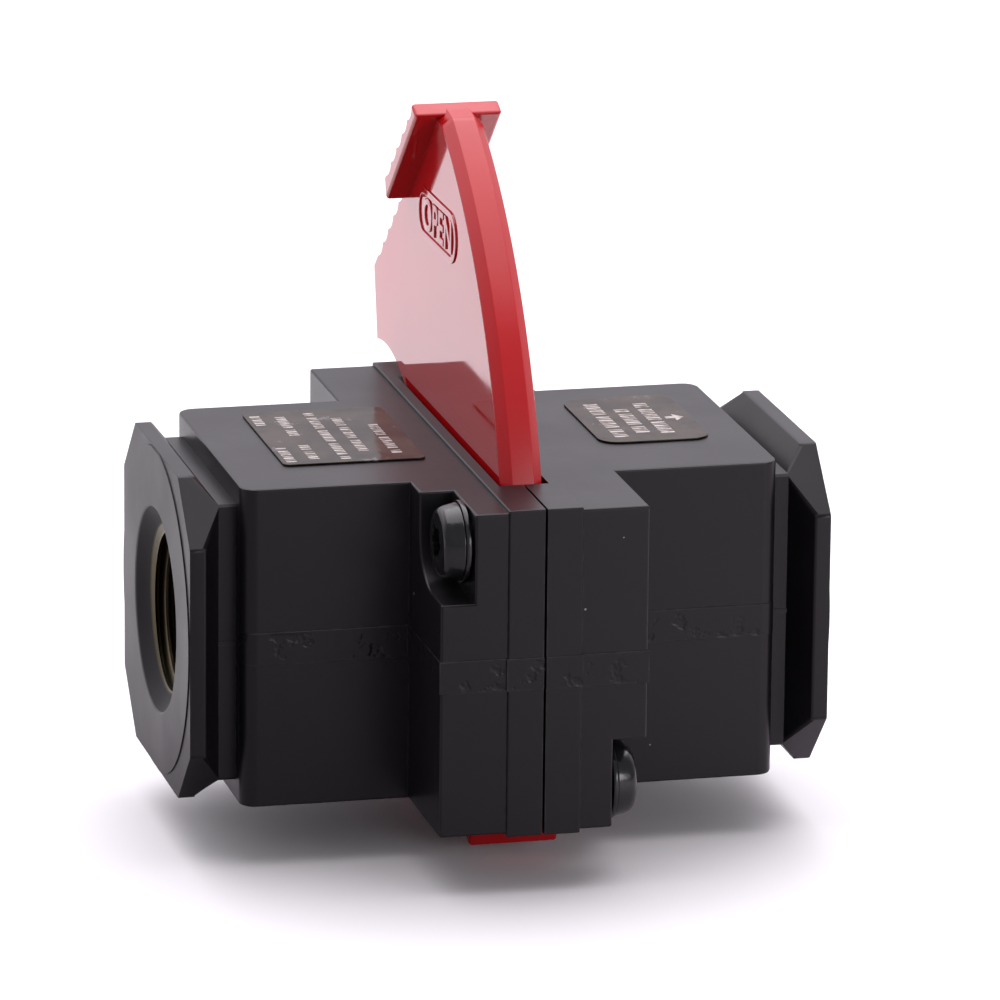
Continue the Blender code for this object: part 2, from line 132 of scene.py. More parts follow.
def add_turned(name, profile, y=0, z=0, sides=96):
    """A turned solid along X, grown from end to end of its (x, radius) profile."""
    bpy.ops.object.select_all(action="DESELECT")
    x, radius = profile[0]
    bpy.ops.mesh.primitive_circle_add(
        vertices=sides, radius=radius, fill_type="NGON", location=(x, y, z), rotation=(0, QUARTER, 0)
    )
    piece = name_piece(name)
    pick(piece, "FACE", lambda part: True)
    for next_x, next_radius in profile[1:]:
        bpy.ops.mesh.extrude_region_move(TRANSFORM_OT_translate={"value": (next_x - x, 0, 0)})
        share = next_radius / radius
        bpy.ops.transform.resize(value=(1, share, share), center_override=(next_x, y, z))
        x, radius = next_x, next_radius
    bpy.ops.mesh.select_all(action="SELECT")
    bpy.ops.mesh.normals_make_consistent(inside=False)
    close_edit()
    return piece


def make_active(piece):
    bpy.ops.object.select_all(action="DESELECT")
    piece.select_set(True)
    bpy.context.view_layer.objects.active = piece


def put_in_place(piece, turn=(0, 0, 0), place=(0, 0, 0)):
    """Turns and moves the piece, and puts that into its mesh."""
    make_active(piece)
    piece.rotation_euler = turn
    piece.location = place
    bpy.ops.object.transform_apply(location=True, rotation=True, scale=True)


def copy_piece(piece, name):
    twin = piece.copy()
    twin.data = piece.data.copy()
    twin.name = name
    twin.data.name = name
    bpy.context.scene.collection.objects.link(twin)
    return twin


def finish_modifier(piece, step):
    make_active(piece)
    bpy.ops.object.modifier_apply(modifier=step.name)


def combine(piece, tool, operation="DIFFERENCE"):
    """Cuts the tool from the piece, or joins it, and takes the tool away."""
    step = piece.modifiers.new(tool.name, "BOOLEAN")
    step.operation = operation
    step.solver = "EXACT"
    step.object = tool
    finish_modifier(piece, step)
    bpy.data.objects.remove(tool)


def pick(piece, kind, wanted):
    """Opens the piece for editing with the vertices, edges or faces selected that fit."""
    make_active(piece)
    bpy.ops.object.mode_set(mode="EDIT")
    bpy.ops.mesh.select_mode(type=kind)
    bpy.ops.mesh.select_all(action="DESELECT")
    cage = bmesh.from_edit_mesh(piece.data)
    for part in {"VERT": cage.verts, "EDGE": cage.edges, "FACE": cage.faces}[kind]:
        if wanted(part):
            part.select_set(True)
    cage.select_flush_mode()
    bmesh.update_edit_mesh(piece.data)


def close_edit():
    bpy.ops.object.mode_set(mode="OBJECT")


def ends(edge):
    return edge.verts[0].co, edge.verts[1].co


def is_outer_corner(edge, least_deg=25):
    return len(edge.link_faces) == 2 and edge.calc_face_angle_signed(0) > math.radians(least_deg)


def round_edges(piece, radius, steps, wanted, least_deg=25):
    """Rounds those of the piece's outer corners that fit."""
    pick(piece, "EDGE", lambda edge: is_outer_corner(edge, least_deg) and wanted(*ends(edge)))
    bpy.ops.mesh.bevel(offset=radius, segments=steps, affect="EDGES", clamp_overlap=True)
    close_edit()


def clean_mesh(piece, smooth_deg=32):
    """Merges doubles, points all faces outwards and shades the piece smooth up to an angle."""
    pick(piece, "VERT", lambda vert: True)
    bpy.ops.mesh.remove_doubles(threshold=0.001 * MM)
    bpy.ops.mesh.dissolve_degenerate(threshold=0.001 * MM)
    bpy.ops.mesh.normals_make_consistent(inside=False)
    close_edit()
    bpy.ops.object.shade_smooth_by_angle(angle=math.radians(smooth_deg))


def settle_normals(piece):
    """Weighs the shading by face size, so that flat faces stay flat beside their rounded edges."""
    step = piece.modifiers.new("normals", "WEIGHTED_NORMAL")
    step.keep_sharp = True
    step.weight = 80
    finish_modifier(piece, step)


def screw_place():
    low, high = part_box("inlet_front_washer")
    return abs(low.y + high.y) / 2, abs(low.z + high.z) / 2


def cut_head_pockets(centre):
    """Round-cornered pockets for the screws' heads, at two opposite corners of the centre block."""
    y, z = screw_place()
    past = 12 * MM
    for side in (1, -1):
        across = sorted((-side * (y - RECESS_R), -side * (y + past)))
        upward = sorted((side * (z - RECESS_R), side * (z + past)))
        pocket = add_block(
            "pocket",
            (-CENTRE_HALF_L - MM, across[0], upward[0]),
            (-RECESS_FLOOR, across[1], upward[1]),
        )
        inner_y = -side * (y - RECESS_R)
        inner_z = side * (z - RECESS_R)
        round_edges(
            pocket, RECESS_R, 14,
            lambda a, b: all(abs(v.y - inner_y) < MM and abs(v.z - inner_z) < MM for v in (a, b)),
        )
        combine(centre, pocket)


def add_barrel():
    """Barrel, centre block and raised strip of one half, each a block with its own corners."""
    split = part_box("inlet_body")[1].x
    strip = [abs(value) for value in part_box("inlet_body")[0][1:]]
    barrel = add_block(
        "casting", (-BARREL_END, -BARREL_HALF_W, -BARREL_HALF_H), (split, BARREL_HALF_W, BARREL_HALF_H)
    )
    round_edges(
        barrel, BARREL_CORNER_R, 6,
        lambda a, b: a.x < -BARREL_HALF_W and b.x < -BARREL_HALF_W and abs(a.y - b.y) < MM,
    )
    round_edges(barrel, CAST_EDGE_R, 2, lambda a, b: min(a.x, b.x) < -BARREL_HALF_W, 60)
    centre = add_block(
        "centre", (-CENTRE_HALF_L, -CENTRE_HALF_W, -BARREL_HALF_H), (split, CENTRE_HALF_W, BARREL_HALF_H)
    )
    cut_head_pockets(centre)
    round_edges(centre, CAST_EDGE_R, 3, lambda a, b: min(a.x, b.x) < -MM, 40)
    combine(barrel, centre, "UNION")
    raised = add_block(
        "strip", (-STRIP_HALF_L, -strip[0], -strip[1]), (split, strip[0], strip[1])
    )
    round_edges(raised, 0.2 * MM, 3, lambda a, b: min(a.x, b.x) < -MM)
    combine(barrel, raised, "UNION")
    for end, reach in (
        (BARREL_END, BARREL_HALF_W), (CENTRE_HALF_L, CENTRE_HALF_W), (STRIP_HALF_L, strip[0])
    ):
        past_end = 0 if end == BARREL_END else FLASH_PROUD
        flash = add_block(
            "flash",
            (-end - past_end, -reach - FLASH_PROUD, -FLASH_HALF_H),
            (split, reach + FLASH_PROUD, FLASH_HALF_H),
        )
        if end == BARREL_END:
            round_edges(
                flash, BARREL_CORNER_R, 6,
                lambda a, b: a.x < -MM and b.x < -MM and abs(a.y - b.y) < MM,
            )
        round_edges(flash, 0.04 * MM, 1, lambda a, b: abs(a.z - b.z) < 0.1 * MM)
        combine(barrel, flash, "UNION")
    return barrel


def add_flange():
    """A square neck, swept out to the flange's rim, whose four corners are then cut off."""
    face = abs(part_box("inlet_body")[0].x)
    rim_back = face - FLANGE_RIM
    flange = add_block(
        "flange",
        (-rim_back + FLANGE_BEVEL, -NECK_HALF_W, -NECK_HALF_H),
        (-BARREL_END + BARREL_CORNER_R, NECK_HALF_W, NECK_HALF_H),
    )
    pick(flange, "FACE", lambda part: part.normal.x < -0.9)
    bpy.ops.mesh.extrude_region_move(TRANSFORM_OT_translate={"value": (-FLANGE_BEVEL, 0, 0)})
    growth = (1, FLANGE_HALF_W / NECK_HALF_W, FLANGE_HALF_H / NECK_HALF_H)
    bpy.ops.transform.resize(value=growth, center_override=(0, 0, 0))
    bpy.ops.mesh.extrude_region_move(TRANSFORM_OT_translate={"value": (-FLANGE_RIM, 0, 0)})
    for y_side, z_side in ((1, 1), (1, -1), (-1, 1), (-1, -1)):
        bpy.ops.mesh.select_all(action="SELECT")
        bpy.ops.mesh.bisect(
            plane_co=(0, y_side * FLANGE_CORNER_SUM, 0), plane_no=(0, y_side, z_side),
            use_fill=True, clear_outer=True, threshold=0.001 * MM,
        )
    close_edit()
    round_edges(flange, CAST_EDGE_R, 3, lambda a, b: max(a.x, b.x) < -rim_back + 0.1 * MM, 30)
    round_edges(flange, 0.5 * MM, 3, lambda a, b: max(a.x, b.x) > -rim_back + MM, 60)
    round_edges(flange, 0.25 * MM, 2, lambda a, b: min(a.x, b.x) > -rim_back - 0.1 * MM, 30)
    skim = add_block("skim", (-face - MM, -25 * MM, -25 * MM), (-face + SKIM_DEPTH, 25 * MM, 25 * MM))
    combine(skim, add_rod("turned_face", -face - 2 * MM, -face + MM, FACE_TURNED_R, sides=180))
    combine(flange, skim)
    fin = add_block(
        "fin",
        (-rim_back + FLANGE_BEVEL - 0.3 * MM, -NECK_HALF_W - FIN_PROUD, -0.25 * MM),
        (-BARREL_END + MM, NECK_HALF_W + FIN_PROUD, 0.25 * MM),
    )
    combine(flange, fin, "UNION")
    return flange


def add_thread_coil(name, root_r, tip_r, tip_flat, start, turns, pitch, sides=72):
    """The metal that a thread's groove takes away: a wedge wound round the X axis."""
    bpy.ops.object.select_all(action="DESELECT")
    bpy.ops.mesh.primitive_plane_add(size=1, location=(start, 0, 0), rotation=(QUARTER, 0, 0))
    coil = name_piece(name)
    half_root = 0.46 * pitch
    half_tip = tip_flat / 2
    for vert in coil.data.vertices:
        at_tip = vert.co.z > 0
        side = 1 if vert.co.x > start else -1
        vert.co.x = start + side * (half_tip if at_tip else half_root)
        vert.co.z = tip_r if at_tip else root_r
    step = coil.modifiers.new("wind", "SCREW")
    step.axis = "X"
    step.screw_offset = turns * pitch
    step.angle = turns * 2 * math.pi
    step.steps = turns * sides
    step.render_steps = turns * sides
    step.use_smooth_shade = False
    finish_modifier(coil, step)
    pick(coil, "EDGE", lambda edge: len(edge.link_faces) < 2)
    bpy.ops.mesh.edge_face_add()
    bpy.ops.mesh.select_all(action="SELECT")
    bpy.ops.mesh.remove_doubles(threshold=0.001 * MM)
    bpy.ops.mesh.normals_make_consistent(inside=False)
    close_edit()
    return coil


def cut_port(casting):
    """The tapped port with its countersunk mouth, the passage behind it and the seat's pocket."""
    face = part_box("inlet_body")[0].x
    seat_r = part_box("inlet_seat_ring")[1].y + 0.3 * MM
    pocket_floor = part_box("inlet_o_ring")[0].x - 0.3 * MM
    bore = [
        (face - 0.3 * MM, 13.4 * MM), (face - 0.01 * MM, 13.0 * MM), (face + 0.14 * MM, 12.65 * MM),
        (face + 0.4 * MM, 12.3 * MM), (face + 1.1 * MM, 11.3 * MM), (face + 1.5 * MM, 10.6 * MM),
        (face + 2.1 * MM, THREAD_CREST_R), (face + THREAD_DEPTH, THREAD_CREST_R),
        (face + THREAD_DEPTH + 0.85 * MM, PASSAGE_R), (pocket_floor, PASSAGE_R),
        (pocket_floor + 0.001 * MM, seat_r), (MM, seat_r),
    ]
    combine(casting, add_turned("bore", bore))
    coil = add_thread_coil(
        "thread", THREAD_CREST_R - 0.15 * MM, THREAD_ROOT_R, 0.25 * MM, face + 1.1 * MM,
        THREAD_TURNS, THREAD_PITCH,
    )
    combine(casting, coil)


def cut_slot(casting):
    """The slide's curved path through both halves."""
    axis_y = frame["joints"][0]["pos_m"][1]
    path = add_rod("slide_path", -SLOT_HALF, SLOT_HALF, SLOT_OUTER_R, y=axis_y, sides=256)
    boss = add_rod("half_moon", -2 * SLOT_HALF, 2 * SLOT_HALF, HALF_MOON_R, y=axis_y, sides=160)
    combine(path, boss)
    combine(casting, path)


def cut_holes(casting):
    """Clearance holes for two screws, tapped holes for the other two, and holes for the pins."""
    y, z = screw_place()
    for side in (1, -1):
        for hole, depth, up in (("screw_hole", RECESS_FLOOR + MM, side), ("tapped_hole", 9.5 * MM, -side)):
            rod = add_rod(hole, -depth, MM, SCREW_HOLE_R, y=-side * y, z=up * z, sides=32)
            combine(casting, rod)
    for pin in ("front_dowel", "rear_dowel"):
        pin_low, pin_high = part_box(pin)
        pin_y = (pin_low.y + pin_high.y) / 2
        combine(casting, add_rod("pin_hole", -4.4 * MM, MM, PIN_HOLE_R, y=pin_y, sides=32))


inlet_casting = add_barrel()
combine(inlet_casting, add_flange(), "UNION")
cut_slot(inlet_casting)
cut_holes(inlet_casting)
clean_mesh(inlet_casting)
cut_port(inlet_casting)
clean_mesh(inlet_casting)
settle_normals(inlet_casting)
inlet_casting.name = "inlet_casting"


def add_node(tree, kind, **settings):
    node = tree.nodes.new(kind)
    for key, value in settings.items():
        setattr(node, key, value)
    return node


def set_input(tree, node, socket, value):
    """Links a socket when the value is one, and otherwise writes the value on it."""
    if isinstance(value, bpy.types.NodeSocket):
        tree.links.new(value, node.inputs[socket])
    else:
        node.inputs[socket].default_value = value


def maths(tree, operation, first, second=0.0, third=0.0):
    node = add_node(tree, "ShaderNodeMath", operation=operation)
    for index, value in enumerate((first, second, third)):
        set_input(tree, node, index, value)
    return node.outputs[0]


def blend_colours(tree, share, first, second):
    node = add_node(tree, "ShaderNodeMix", data_type="RGBA")
    set_input(tree, node, 0, share)
    set_input(tree, node, 6, first)
    set_input(tree, node, 7, second)
    return node.outputs[2]


def ramp(tree, value, low, high, to_low=0.0, to_high=1.0):
    node = add_node(tree, "ShaderNodeMapRange", interpolation_type="SMOOTHSTEP")
    for index, part in enumerate((value, low, high, to_low, to_high)):
        set_input(tree, node, index, part)
    return node.outputs[0]


def noise(tree, where, scale, detail=2.0, roughness=0.5):
    node = add_node(tree, "ShaderNodeTexNoise")
    set_input(tree, node, "Vector", where)
    node.inputs["Scale"].default_value = scale
    node.inputs["Detail"].default_value = detail
    node.inputs["Roughness"].default_value = roughness
    return node.outputs["Fac"]


def off_axis(tree, across, upward):
    """How far a point is from an axis along X, from its two distances square to it."""
    squares = [maths(tree, "MULTIPLY", part, part) for part in (across, upward)]
    return maths(tree, "SQRT", maths(tree, "ADD", *squares))


def start_group(name, inputs, outputs):
    group = bpy.data.node_groups.new(name, "ShaderNodeTree")
    for label, value in inputs:
        socket = group.interface.new_socket(name=label, in_out="INPUT", socket_type="NodeSocketFloat")
        socket.default_value = value
    for label, kind in outputs:
        group.interface.new_socket(name=label, in_out="OUTPUT", socket_type=kind)
    entry = add_node(group, "NodeGroupInput")
    leave = add_node(group, "NodeGroupOutput")
    return group, entry, leave


def make_edge_wear_and_highlight():
    """A mask, 1 along a piece's corners, broken up so that the finish looks rubbed, not outlined; finishes
    lighten their colour with it, partly as wear and partly as a painted edge highlight.
    """
    group, entry, leave = start_group(
        "edge_wear_and_highlight", [("Radius", 0.0003), ("Breakup", 900.0)], [("Edge", "NodeSocketFloat")]
    )
    place = add_node(group, "ShaderNodeTexCoord").outputs["Object"]
    bevel = add_node(group, "ShaderNodeBevel", samples=6)
    group.links.new(entry.outputs["Radius"], bevel.inputs["Radius"])
    facing = add_node(group, "ShaderNodeVectorMath", operation="DOT_PRODUCT")
    group.links.new(bevel.outputs["Normal"], facing.inputs[0])
    normal = add_node(group, "ShaderNodeNewGeometry").outputs["Normal"]
    group.links.new(normal, facing.inputs[1])
    corner = ramp(group, maths(group, "SUBTRACT", 1.0, facing.outputs["Value"]), 0.02, 0.2)
    broken = add_node(group, "ShaderNodeTexNoise")
    group.links.new(place, broken.inputs["Vector"])
    group.links.new(entry.outputs["Breakup"], broken.inputs["Scale"])
    broken.inputs["Detail"].default_value = 3.0
    patchy = ramp(group, broken.outputs["Fac"], 0.35, 0.65)
    group.links.new(maths(group, "MULTIPLY", corner, patchy), leave.inputs["Edge"])
    return group


def make_dust():
    """Sparse pale specks of dust and lint, as a mask."""
    group, entry, leave = start_group(
        "dust", [("Scale", 260.0), ("Amount", 0.12)], [("Speck", "NodeSocketFloat")]
    )
    place = add_node(group, "ShaderNodeTexCoord").outputs["Object"]
    cells = add_node(group, "ShaderNodeTexVoronoi", feature="F1")
    group.links.new(place, cells.inputs["Vector"])
    group.links.new(entry.outputs["Scale"], cells.inputs["Scale"])
    chosen = add_node(group, "ShaderNodeSeparateColor")
    group.links.new(cells.outputs["Color"], chosen.inputs[0])
    picked = maths(group, "LESS_THAN", chosen.outputs[0], entry.outputs["Amount"])
    size = maths(group, "MULTIPLY", chosen.outputs[1], 0.045)
    dot = maths(group, "LESS_THAN", cells.outputs["Distance"], size)
    group.links.new(maths(group, "MULTIPLY", picked, dot), leave.inputs["Speck"])
    return group


edge_wear_and_highlight = make_edge_wear_and_highlight()
dust = make_dust()


def use_group(tree, group, **values):
    node = add_node(tree, "ShaderNodeGroup")
    node.node_tree = group
    for label, value in values.items():
        node.inputs[label].default_value = value
    return node


def start_material(name, **constants):
    finish = bpy.data.materials.new(name)
    finish.use_nodes = True
    tree = finish.node_tree
    shader = tree.nodes["Principled BSDF"]
    for label, value in constants.items():
        shader.inputs[label.replace("_", " ")].default_value = value
    place = add_node(tree, "ShaderNodeTexCoord").outputs["Object"]
    return finish, tree, shader, place


def add_bump(tree, shader, height, strength, distance):
    bump = add_node(tree, "ShaderNodeBump")
    bump.inputs["Strength"].default_value = strength
    bump.inputs["Distance"].default_value = distance
    tree.links.new(height, bump.inputs["Height"])
    tree.links.new(bump.outputs["Normal"], shader.inputs["Normal"])


def make_cast_paint():
    """Satin black paint over a cast skin, lighter at its corners with wear and a painted edge highlight;
    bare yellowish metal where the port was machined, painted darker in the thread's roots as shade.
    """
    finish, tree, shader, place = start_material("black_cast_paint", Specular_IOR_Level=0.28)
    split = add_node(tree, "ShaderNodeSeparateXYZ")
    tree.links.new(place, split.inputs[0])
    x, y, z = split.outputs
    from_axis = off_axis(tree, y, z)
    along = maths(tree, "ABSOLUTE", x)
    in_passage = maths(tree, "MULTIPLY", maths(tree, "GREATER_THAN", along, 7.5 * MM),
                       maths(tree, "LESS_THAN", along, 38.5 * MM))
    in_port = maths(tree, "MULTIPLY", in_passage, maths(tree, "LESS_THAN", from_axis, 11.2 * MM))
    # The thread's crests take the bright metal colour and its roots a much darker one: painted shade in the
    # grooves.
    crest_vs_shaded_root = ramp(tree, from_axis, 9.4 * MM, 9.8 * MM, 1.0, 0.0)
    on_face = maths(tree, "GREATER_THAN", along, 39.8 * MM)
    edge = use_group(tree, edge_wear_and_highlight, Radius=0.0004, Breakup=700.0).outputs["Edge"]
    speck = use_group(tree, dust, Scale=230.0, Amount=0.2).outputs["Speck"]
    broad = noise(tree, place, 60.0, 3.0)
    paint = blend_colours(tree, broad, (0.0045, 0.0038, 0.0048, 1), (0.0075, 0.0064, 0.0078, 1))
    # Corners lightened to grey: partly rubbed paint, partly a painted edge highlight.
    paint = blend_colours(tree, maths(tree, "MULTIPLY", edge, 0.5), paint, (0.055, 0.054, 0.058, 1))
    metal = blend_colours(tree, crest_vs_shaded_root, (0.085, 0.072, 0.042, 1), (0.34, 0.28, 0.17, 1))
    metal = blend_colours(tree, noise(tree, place, 300.0, 3.0), metal, (0.06, 0.052, 0.032, 1))
    colour = blend_colours(tree, in_port, paint, metal)
    colour = blend_colours(tree, maths(tree, "MULTIPLY", speck, 0.55), colour, (0.55, 0.55, 0.56, 1))
    tree.links.new(colour, shader.inputs["Base Color"])
    skin_rough = ramp(tree, broad, 0.3, 0.7, 0.3, 0.37)
    skin_rough = maths(tree, "ADD", skin_rough, maths(tree, "MULTIPLY", on_face, 0.1))
    in_mouth = maths(tree, "MULTIPLY", maths(tree, "LESS_THAN", from_axis, 12.62 * MM),
                     maths(tree, "GREATER_THAN", along, 38.4 * MM))
    skin_rough = maths(tree, "ADD", skin_rough, maths(tree, "MULTIPLY", in_mouth, 0.3))
    rough = maths(tree, "ADD", skin_rough, maths(tree, "MULTIPLY", edge, 0.08))
    tree.links.new(rough, shader.inputs["Roughness"])
    tree.links.new(in_port, shader.inputs["Metallic"])
    peel = noise(tree, place, 900.0, 2.0)
    level = maths(tree, "ABSOLUTE", z)
    in_flash = ramp(tree, level, FLASH_HALF_H - 0.4 * MM, FLASH_HALF_H, 1.0, 0.0)
    in_flash = maths(tree, "MULTIPLY", in_flash, maths(tree, "LESS_THAN", along, BARREL_END - 0.04 * MM))
    torn = ramp(tree, noise(tree, place, 300.0, 3.0, 0.6), 0.54, 0.64)
    scars = maths(tree, "MULTIPLY", in_flash, torn)
    height = maths(tree, "ADD", maths(tree, "MULTIPLY", peel, 0.1), maths(tree, "MULTIPLY", scars, -1.0))
    add_bump(tree, shader, height, 0.45, 0.00014)
    return finish


def set_finish(piece, finish):
    piece.data.materials.clear()
    piece.data.materials.append(finish)


cast_paint = make_cast_paint()
set_finish(inlet_casting, cast_paint)
outlet_casting = copy_piece(inlet_casting, "outlet_casting")
put_in_place(outlet_casting, (0, math.pi, 0))
for casting, node in ((inlet_casting, "inlet_body"), (outlet_casting, "outlet_body")):
    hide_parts(node)
    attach(casting, "valve_body")


# ---------------------------------------------------------------- slide
# The shut-off slide, a curved plate moulded in glossy red acetal that swings through the
# slot about an axis behind the body. A flow hole opens the bore, a groove vents it when
# it is shut, and ribbed finger pads at both ends push it over.

SWING_HALF = math.radians(21.4)
PAD_SLOPE = math.radians(18.7)  # the pads' outer faces from the slide's middle line
SLIDE_HALF = 2.6 * MM
SLIDE_OUTER_R = 65.6 * MM
SLIDE_INNER_R = 22.395 * MM
RIM_FLAT_HALF = SLIDE_HALF - 1.25 * MM
VENT_DEPTH = 1.8 * MM
VENT_SPREAD = math.radians(39.2)
PAD_LINE = 28.04 * MM  # the ribbed edge's tips from the slide's middle line
PAD_TOP = 28.2 * MM
PAD_HALF_W = 5.5 * MM
PAD_NOSE = -58.95 * MM  # y of the pad's front end as it lies level
PAD_HEEL = -38.6 * MM
PAD_UNDER = 26.1 * MM
PAD_FIRST_TIP = 54.5 * MM
PAD_GAPS = 4
LIP_TOP = 28.6 * MM
LIP_HOLLOW_R = 2.3 * MM
END_SLANT = 1.1 * MM
EDGE_FIRST_TIP = 36.2 * MM
EDGE_GAPS = 5
HEEL_ANGLE = math.radians(80.8)
RIDGE_PITCH = 3.73 * MM
SCALLOP_R = 3.31 * MM
SCALLOP_DEPTH = 0.5 * MM
RELIEF = 0.2 * MM  # the mark's frame above the slide's face
MARK_Y = (-0.7 * MM, 19.6 * MM)
MARK_Z = (41.1 * MM, 47.6 * MM)
MARK_LINE = 0.9 * MM
MARK_CORNER_R = 3.2 * MM


def flip_over(piece):
    """Mirrors the piece top to bottom and turns its faces outwards again."""
    pick(piece, "VERT", lambda vert: True)
    bpy.ops.transform.resize(value=(1, 1, -1), center_override=(0, 0, 0))
    bpy.ops.mesh.normals_make_consistent(inside=False)
    close_edit()


def cut_scallops(piece, first_tip, count, line):
    """Hollows between the finger ridges, from the one nearest the front."""
    for ridge in range(count):
        middle = first_tip - (ridge + 0.5) * RIDGE_PITCH
        combine(piece, add_rod("scallop", -8 * MM, 8 * MM, SCALLOP_R, y=-middle,
                               z=line - SCALLOP_DEPTH + SCALLOP_R, sides=48))


def add_pad():
    """One finger pad, level, with a lip at its sloping nose and ribs on top."""
    pad = add_block(
        "pad", (-PAD_HALF_W, PAD_NOSE, PAD_UNDER), (PAD_HALF_W, PAD_HEEL, LIP_TOP)
    )
    pick(pad, "VERT", lambda vert: vert.co.y < -50 * MM and vert.co.z > 27 * MM)
    bpy.ops.transform.translate(value=(0, END_SLANT, 0))
    close_edit()
    pick(pad, "VERT", lambda vert: vert.co.y > -50 * MM and vert.co.z < 27 * MM)
    bpy.ops.transform.translate(value=(0, END_SLANT, -0.25 * MM))
    close_edit()
    pick(pad, "VERT", lambda vert: vert.co.y < -50 * MM and vert.co.z < 27 * MM)
    bpy.ops.transform.translate(value=(0, 0, 0.3 * MM))
    close_edit()
    round_edges(
        pad, 0.45 * MM, 4,
        lambda a, b: min(a.z, b.z) < 27 * MM or (max(a.z, b.z) < 27 * MM and abs(a.x - b.x) < 0.1 * MM),
    )
    combine(pad, add_block("level", (-8 * MM, -56.4 * MM, PAD_TOP), (8 * MM, -30 * MM, 30 * MM)))
    cut_scallops(pad, PAD_FIRST_TIP, PAD_GAPS, PAD_TOP)
    combine(pad, add_rod("lip_hollow", -8 * MM, 8 * MM, LIP_HOLLOW_R, y=-56 * MM, z=30 * MM, sides=40))
    round_edges(pad, 0.3 * MM, 4, lambda a, b: max(a.y, b.y) < -57 * MM and min(a.z, b.z) > 28.4 * MM, 40)
    round_edges(pad, 0.16 * MM, 2, is_ridge_tip, 30)
    return pad


def is_ridge_tip(a, b):
    return min(a.z, b.z) > PAD_TOP - 0.1 * MM and abs(a.y - b.y) < 0.01 * MM and abs(a.x - b.x) > MM


def add_plate():
    """The curved plate, chamfered round its rim, which ramps down to the pads' noses at both ends."""
    chamfer = [
        (SLIDE_HALF, SLIDE_OUTER_R - 1.33 * MM), (SLIDE_HALF - 0.09 * MM, SLIDE_OUTER_R - 1.16 * MM),
        (RIM_FLAT_HALF + 0.06 * MM, SLIDE_OUTER_R - 0.06 * MM), (RIM_FLAT_HALF - 0.08 * MM, SLIDE_OUTER_R),
    ]
    profile = [(-x, radius) for x, radius in chamfer] + chamfer[::-1]
    plate = add_turned("slide", profile, sides=400)
    combine(plate, add_rod("inner", -5 * MM, 5 * MM, SLIDE_INNER_R, sides=200))
    for end in ("upper", "lower"):
        put_in_place(plate, (PAD_SLOPE, 0, 0))
        trim(plate, (0, 0, PAD_LINE), (0, 0, 1))
        for x, lean in ((0, 0), (RIM_FLAT_HALF, 1), (-RIM_FLAT_HALF, -1)):
            trim(plate, (x, -60.57 * MM, 25.2 * MM), (lean, -0.728, 0.685))
        put_in_place(plate, (-PAD_SLOPE, 0, 0))
        trim(plate, (0, 0, 0), (0, math.sin(HEEL_ANGLE), math.cos(HEEL_ANGLE)))
        flip_over(plate)
    for end in ("upper", "lower"):
        put_in_place(plate, (PAD_SLOPE, 0, 0))
        cut_scallops(plate, EDGE_FIRST_TIP, EDGE_GAPS, PAD_LINE)
        put_in_place(plate, (-PAD_SLOPE, 0, 0))
        flip_over(plate)
    return plate


def trim(piece, point, outward):
    """Cuts off what lies on the outward side of a plane and closes the cut."""
    pick(piece, "FACE", lambda part: True)
    bpy.ops.mesh.bisect(
        plane_co=point, plane_no=outward, use_fill=True, clear_outer=True, threshold=0.001 * MM
    )
    close_edit()


def cut_vent(plate):
    """A pocket in the outlet face that meets the bore when shut, and a groove from it to the open air."""
    floor_x = SLIDE_HALF - VENT_DEPTH
    angle = 2 * SWING_HALF
    y = axis_y - axis_y * math.cos(angle)
    z = axis_y * math.sin(angle)
    combine(plate, add_rod("vent_pocket", floor_x, 5 * MM, 6 * MM, y=y, z=z, sides=72))
    bpy.ops.object.select_all(action="DESELECT")
    bpy.ops.mesh.primitive_plane_add(size=1, location=((floor_x + 5 * MM) / 2, y, z))
    groove = bpy.context.object
    groove.scale = (5 * MM - floor_x, 4 * MM, 1)
    groove.rotation_euler = (-angle, 0, 0)
    groove = name_piece("groove")
    pick(groove, "FACE", lambda part: True)
    bpy.ops.mesh.spin(
        steps=24, angle=-VENT_SPREAD, center=(0, axis_y, 0), axis=(1, 0, 0), use_auto_merge=False
    )
    bpy.ops.mesh.select_all(action="SELECT")
    bpy.ops.mesh.normals_make_consistent(inside=False)
    close_edit()
    combine(plate, groove)


def add_mark():
    """The raised word in its long round frame, on the inlet face beside the upper pad."""
    face = -SLIDE_HALF
    outside = add_block(
        "frame", (face - RELIEF, MARK_Y[0], MARK_Z[0]), (face + 0.5 * MM, MARK_Y[1], MARK_Z[1])
    )
    hollow = add_block(
        "hollow", (face - MM, MARK_Y[0] + MARK_LINE, MARK_Z[0] + MARK_LINE),
        (face + MM, MARK_Y[1] - MARK_LINE, MARK_Z[1] - MARK_LINE),
    )
    round_edges(outside, MARK_CORNER_R, 12, lambda a, b: abs(a.x - b.x) > 0.1 * MM)
    round_edges(hollow, MARK_CORNER_R - MARK_LINE, 12, lambda a, b: abs(a.x - b.x) > 0.1 * MM)
    combine(outside, hollow)
    round_edges(outside, 0.14 * MM, 2, lambda a, b: max(a.x, b.x) < face - 0.15 * MM, 60)
    bpy.ops.object.select_all(action="DESELECT")
    bpy.ops.object.text_add()
    word = bpy.context.object
    word.data.body = "OPEN"
    word.data.size = 5.6 * MM
    word.data.extrude = 0.3 * MM
    word.data.offset = 0.08 * MM
    word.data.bevel_depth = 0.09 * MM
    word.data.space_character = 1.08
    bpy.ops.object.convert(target="MESH")
    word = bpy.context.object
    put_in_place(word, (QUARTER, 0, -QUARTER), (face + RELIEF, 16.6 * MM, 42.55 * MM))
    return outside, word


